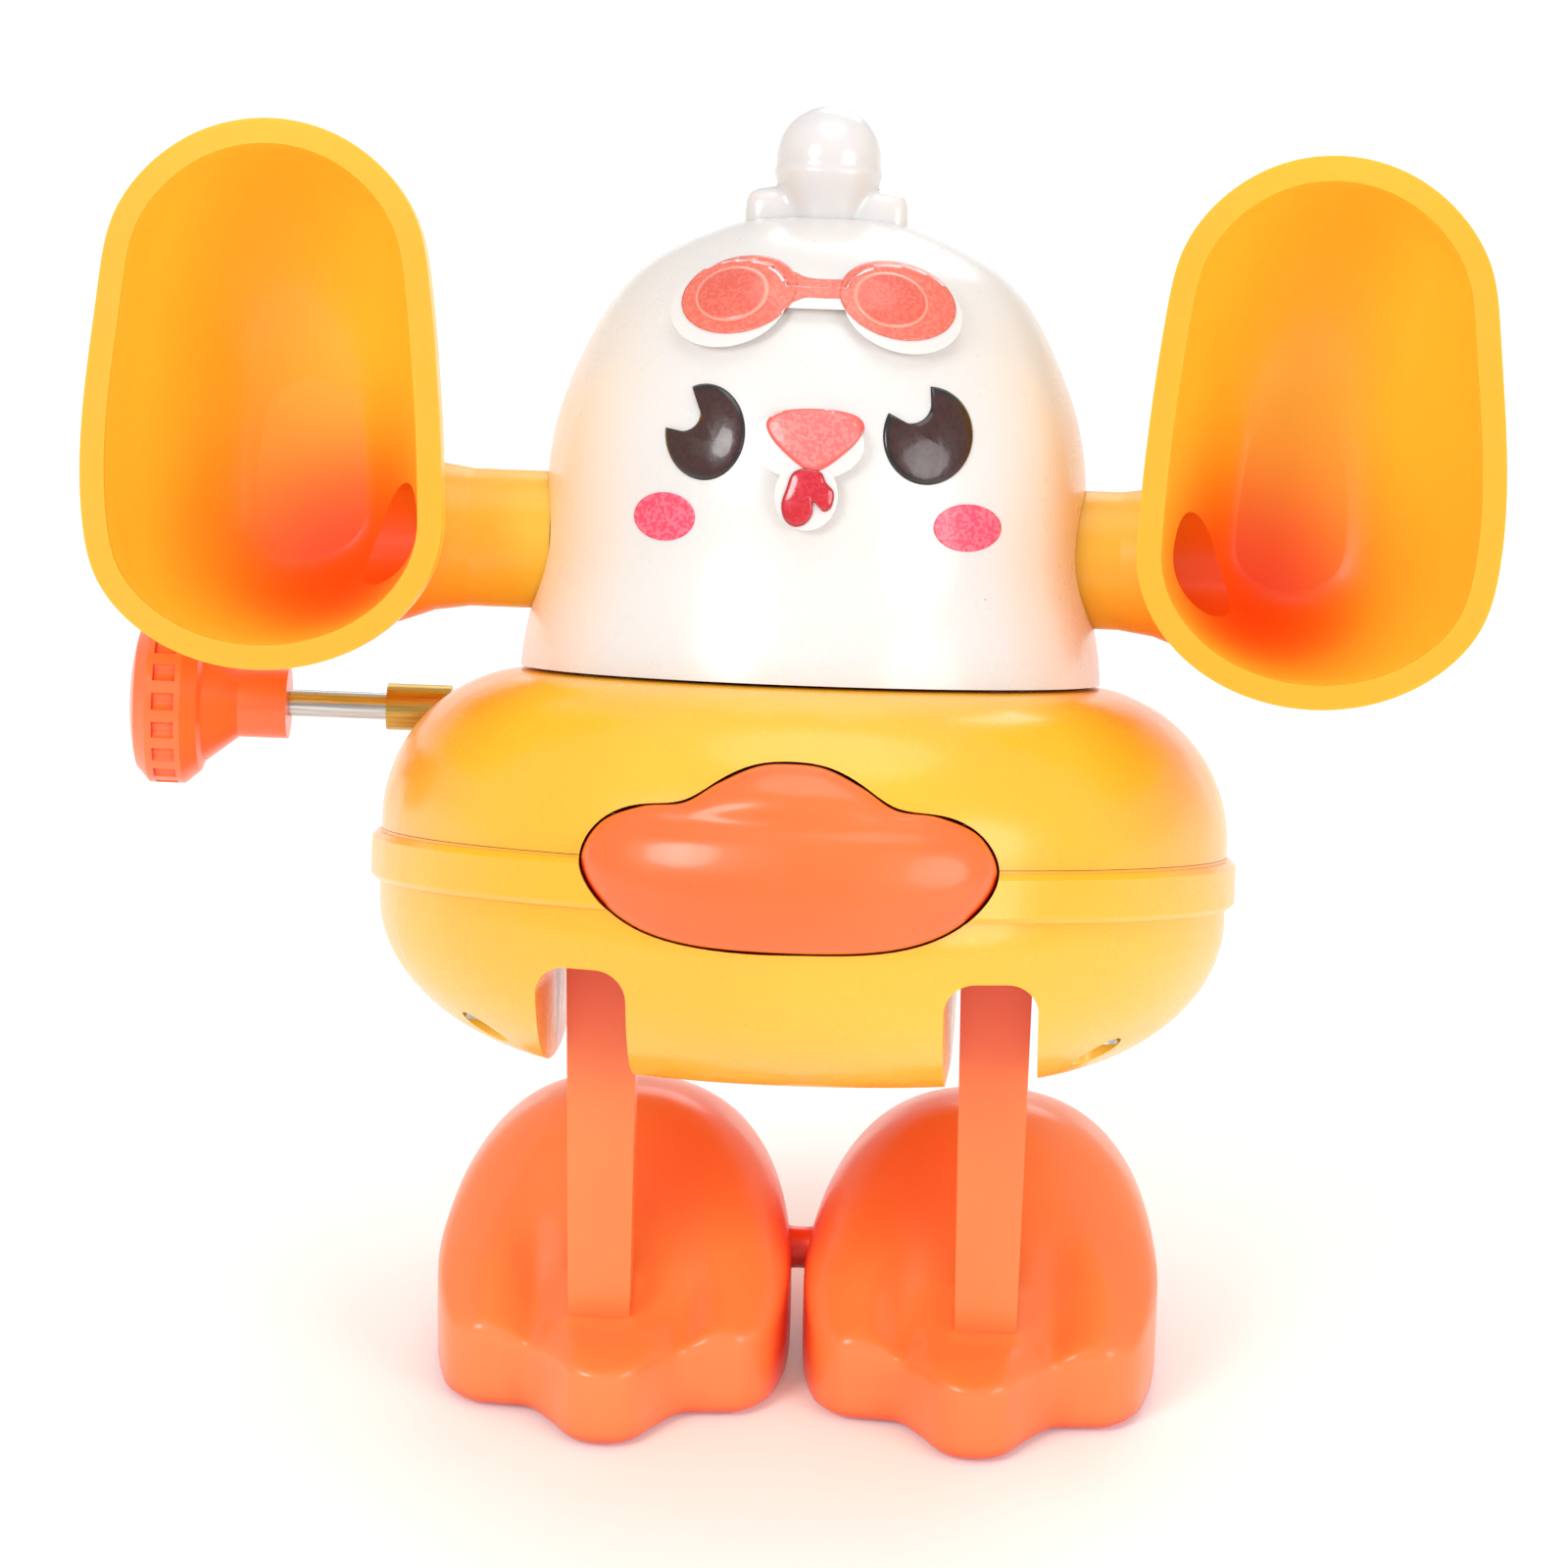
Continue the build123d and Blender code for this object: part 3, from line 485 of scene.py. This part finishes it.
# ---- the bill: a pillow with a hump above and a long roll below

BILL_SINKS = 1.4            # how far its flat back lies inside the ring's outer surface, mm
BILL_HUB = Vector((0, 19.8))
BILL = smooth_loop(mirrored([
    (0, 27.6), (2.8, 27.3), (5.8, 25.9), (8.6, 24.2), (12.1, 23.7), (15.4, 22.2), (16.9, 19.2), (15.4, 16.2),
    (12.1, 13.9), (7.3, 12.7), (0, 12.4),
]), 220)
RING_R, RING_HIGH, RING_LOW = 35.9, 20.4, 14.0      # outer radius, and where it starts to round off, mm
SHOULDER_R, BELLY_R = 13.0, 20.0                    # how far it rounds in above and below those heights, mm


def ring_radius(z):
    """The swim ring's outer radius at a height, in mm."""
    if z > RING_HIGH:
        return RING_R - SHOULDER_R + sqrt(SHOULDER_R**2 - (z - RING_HIGH) ** 2)
    if z < RING_LOW:
        return RING_R - BELLY_R + BELLY_R * sqrt(1 - ((RING_LOW - z) / RING_LOW) ** 2)
    return RING_R


def bill_point(x, z, proud):
    """A point seen from the front at x, z, this far outside the ring in mm."""
    radius = ring_radius(z) + proud
    return body_point(x, -sqrt(radius**2 - x * x), z)


def bill_proud(x, z, share):
    """How far the bill stands out of the ring: rounded at its rim, with the roll, the step above it and the hump."""
    rim = sqrt(1 - share**7)
    roll = 0.75 * hill(z, 18.4, 3.4)
    step = 0.5 * hill(z, 22.8, 1.0) * (1 - 0.4 * hill(x, 0, 9))
    hump = 0.35 * hill(x, 0, 5) * hill(z, 25.2, 1.8)
    return 0.15 + rim * (1.3 + roll - step + hump)


bill_rings = []
for share in [(k / 34) ** 0.8 for k in range(35)]:
    bill_rings.append([bill_point(*p, bill_proud(*p, share)) for p in drawn_in(BILL, BILL_HUB, share)])
for share in (1.0, 0.5, 0.0):
    bill_rings.append([bill_point(*p, -BILL_SINKS) for p in drawn_in(BILL, BILL_HUB, share)])
bill = piece("bill_pillow", bill_rings, orange, "body")
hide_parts("bill")


# ---- the feet: high round heels running down into three soft toes each
# in mm, outwards from each foot's middle, back from the leg axle and up from the floor

FOOT_SPACING, FOOT_HALF, FOOT_FRONT, FOOT_BACK = 16.1, 15.5, -9.5, 32.0
FOOT_HUB = Vector((0, 12.0))
TOE_TOP, HEEL_RISE, HEEL_FALL = 9.4, 12.6, 1.2
TOE_WALL, HEEL_WALL_RISE = 6.2, 3.2         # where the upright side ends and the rounding starts
SIDE_TOE_AT, VALLEY_AT = 11.0, 6.6
SOLE_SHOWS, SOLE_TOP, SOLE_INSET = 0.6, 1.56, 2.0
LEG_AT, LEG_HALF_WIDE, LEG_HALF_DEEP = 0.7, 2.6, 2.0    # the leg's middle, and its half width and depth
PLAN = smooth_loop(mirrored([
    (0, FOOT_FRONT), (2.6, FOOT_FRONT + 0.8), (4.7, FOOT_FRONT + 3.6), (6.8, FOOT_FRONT + 5.9),
    (9.4, FOOT_FRONT + 6.3), (12.2, FOOT_FRONT + 6.9), (FOOT_HALF - 1.0, FOOT_FRONT + 10.2),
    (FOOT_HALF, FOOT_FRONT + 19), (FOOT_HALF - 2.2, FOOT_BACK - 9), (8.8, FOOT_BACK - 2.2), (0, FOOT_BACK),
]), 240)
SIDE_RINGS = (      # height and inset, from the wall's top round the edge and into the recess for the sole
    (5.0, -0.02), (3.0, 0.0), (1.4, 0.02), (0.85, 0.08), (SOLE_SHOWS, 0.35), (SOLE_SHOWS, SOLE_INSET),
    (SOLE_TOP, SOLE_INSET),
)
TOP_RINGS = 46


def foot_height(x, y, share):
    """The foot's upper surface: toes, then the heel's dome, rounded off at the plan's edge, where share is 1."""
    dome = TOE_TOP + HEEL_RISE * slope(y, -2.5, 18.0) - HEEL_FALL * slope(y, 24, 32)
    crown = dome - (x / 9) ** 2 * slope(y, 3, 12)
    toes = 0.6 * hill(abs(x), SIDE_TOE_AT, 2.8) - 1.5 * hill(abs(x), VALLEY_AT, 1.8) - 0.6 * hill(x, 0, 3.5)
    top = crown + toes * (1 - slope(y, 0.0, 8.0))
    wall = TOE_WALL + HEEL_WALL_RISE * slope(y, -3, 12)
    power = 3.6 - 1.45 * slope(y, -3, 10)
    rim = (1 - share**power) ** (1 / power)
    beside_leg = max(0.0, abs(x - LEG_AT) - LEG_HALF_WIDE)
    before_leg = max(0.0, abs(y) - LEG_HALF_DEEP)
    collar = 0.6 * hill(beside_leg, 0, 0.9) * hill(before_leg, 0, 0.9)
    return wall + (top - wall) * rim + collar * (1 - share**4)


def foot_ring(share, height, side, inset=0.0):
    """One ring of the foot round its hub; height is a number or a function of the point."""
    ring = []
    for q in drawn_in(PLAN, FOOT_HUB, share):
        if inset:
            q = FOOT_HUB + (q - FOOT_HUB) * (1 - inset / (q - FOOT_HUB).length)
        z = height(q.x, q.y, share) if callable(height) else height
        ring.append(Vector((side * (FOOT_SPACING + q.x), q.y + PIVOT_BACK, z)) * MM)
    return ring


for name, side in (("left", -1), ("right", 1)):
    rings = [foot_ring(1 - (1 - k / TOP_RINGS) ** 1.7, foot_height, side) for k in range(TOP_RINGS + 1)]
    rings += [foot_ring(1.0, height, side, inset) for height, inset in SIDE_RINGS]
    rings += [foot_ring(share, SOLE_TOP, side) for share in (0.4, 0.0)]
    foot = piece(f"{name}_foot", rings, leg_orange, "legs")
    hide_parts("feet")

WEB_HALF, WEB_Y, WEB_Z, WEB_WIDE, WEB_HIGH = 2.2, 13.75, 8.3, 1.6, 1.9
WEB_STEPS = 16


def web_ring(x):
    """A section of the short bar between the feet, which flares towards its ends."""
    flare = 1 + 0.55 * (abs(x) / WEB_HALF) ** 3
    return [
        Vector((x, PIVOT_BACK + WEB_Y + WEB_WIDE * flare * cos(a), WEB_Z + WEB_HIGH * flare * sin(a))) * MM
        for a in circle(32)
    ]


web_rings = [web_ring(WEB_HALF * (2 * k / WEB_STEPS - 1)) for k in range(WEB_STEPS + 1)]
ends = [[Vector((side * WEB_HALF, PIVOT_BACK + WEB_Y, WEB_Z)) * MM] for side in (-1, 1)]
web = piece("foot_web", [ends[0], *web_rings, ends[1]], leg_orange, "legs")
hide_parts("feet")


# ---- the comb: a bulb that runs smoothly into its neck and the two bumps beside it
# in mm about the upright body's axis

COMB_FOOT, COMB_TOP, COMB_LAYERS = 70.2, 81.75, 64
BULB_Z, BULB_R = 77.3, 4.45
NECK_Z, NECK_HALF, NECK_R, FLARE_FROM = 72.0, 4.0, 3.3, 71.0
BUMP_X, BUMP_Z, BUMP_R = 4.4, 71.9, 2.5


def comb_field(x, y, z):
    """Below 0 inside the comb."""
    bulb = hypot(hypot(x, y), z - BULB_Z) - BULB_R
    neck = max(hypot(x, y) - (NECK_R + 0.2 * max(0.0, z - FLARE_FROM)), abs(z - NECK_Z) - NECK_HALF)
    comb = soft_union(bulb, neck, 1.2)
    for side in (-1, 1):
        bump = ((x - side * BUMP_X) ** 4 + y**4 + ((z - BUMP_Z) * 0.9) ** 4) ** 0.25 - BUMP_R
        comb = soft_union(comb, bump, 0.6)
    return comb


def comb_surface(angle, z):
    """The comb's surface in a direction round the axis, found by halving."""
    low, high = 0.0, 9.0
    for _ in range(18):
        half = (low + high) / 2
        if comb_field(half * cos(angle), half * sin(angle), z) < 0:
            low = half
        else:
            high = half
    reach = max(low, 0.02)
    return body_point(reach * cos(angle), reach * sin(angle), z)


comb_rings = [[body_point(0, 0, COMB_FOOT)]]
for k in range(COMB_LAYERS + 1):
    z = COMB_FOOT + (COMB_TOP - 0.03 - COMB_FOOT) * sin(pi / 2 * k / COMB_LAYERS)
    comb_rings.append([comb_surface(angle, z) for angle in circle(96)])
comb_rings.append([body_point(0, 0, COMB_TOP)])
comb = piece("comb_bulb", comb_rings, pearl, "body")
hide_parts("comb")


# ---- floor, lights and camera

HALF_FLOOR, FLOOR_Z = 6.0, -0.00002         # metres
floor_mesh = bpy.data.meshes.new("studio_floor")
floor_corners = [(x * HALF_FLOOR, y * HALF_FLOOR, FLOOR_Z) for x, y in ((-1, -1), (1, -1), (1, 1), (-1, 1))]
floor_mesh.from_pydata(floor_corners, [], [(0, 1, 2, 3)])
floor = bpy.data.objects.new("studio_floor", floor_mesh)
bpy.context.scene.collection.objects.link(floor)
paper = Finish("studio_paper")
paper.set(Base_Color=paper.mix(paper.noise(3), (0.93, 0.93, 0.93, 1), (0.9, 0.9, 0.9, 1)), Roughness=0.9)
paper.set(Emission_Color=(1, 1, 1, 1), Emission_Strength=0.12)
floor_mesh.materials.append(paper.material)

AIM = body_point(-1.9, 0, 24.2)
LIGHTS = (      # name, place and size in metres, power in watts
    ("key", (-0.42, -0.55, 0.55), 0.34, 2.6),
    ("fill", (0.6, -0.5, 0.35), 0.5, 2.2),
    ("top", (0.05, 0.05, 0.8), 0.6, 1.6),
    ("back", (0.1, 0.75, 0.4), 0.5, 1.2),
)
for name, place, size, power in LIGHTS:
    lamp = bpy.data.lights.new(name, "AREA")
    lamp.shape, lamp.size, lamp.energy = "DISK", size, power
    light = bpy.data.objects.new(name, lamp)
    light.location = place
    light.rotation_mode = "QUATERNION"
    light.rotation_quaternion = (AIM - Vector(place)).to_track_quat("-Z", "Y")
    bpy.context.scene.collection.objects.link(light)

world = bpy.data.worlds.new("studio")
world.use_nodes = True
backdrop = world.node_tree.nodes["Background"]
backdrop.inputs["Color"].default_value = (1, 1, 1, 1)
backdrop.inputs["Strength"].default_value = 0.62
bpy.context.scene.world = world
bpy.context.scene.view_settings.view_transform = "Standard"

AZIMUTH, ELEVATION, ROLL = radians(2.5), radians(25.0), radians(1.15)
DISTANCE, VIEW_WIDTH = 0.7, 0.1333      # from the camera to the object, and across the picture there, metres
SENSOR = 36                             # mm
camera_data = bpy.data.cameras.new("camera")
camera_data.sensor_width = SENSOR
camera_data.lens = SENSOR * DISTANCE / VIEW_WIDTH
camera_data.clip_start = 0.01
camera = bpy.data.objects.new("camera", camera_data)
towards = Vector((sin(AZIMUTH) * cos(ELEVATION), -cos(AZIMUTH) * cos(ELEVATION), sin(ELEVATION)))
camera.location = AIM + towards * DISTANCE
camera.rotation_mode = "QUATERNION"
camera.rotation_quaternion = (-towards).to_track_quat("-Z", "Y") @ Quaternion((0, 0, 1), ROLL)
bpy.context.scene.collection.objects.link(camera)
bpy.context.scene.camera = camera
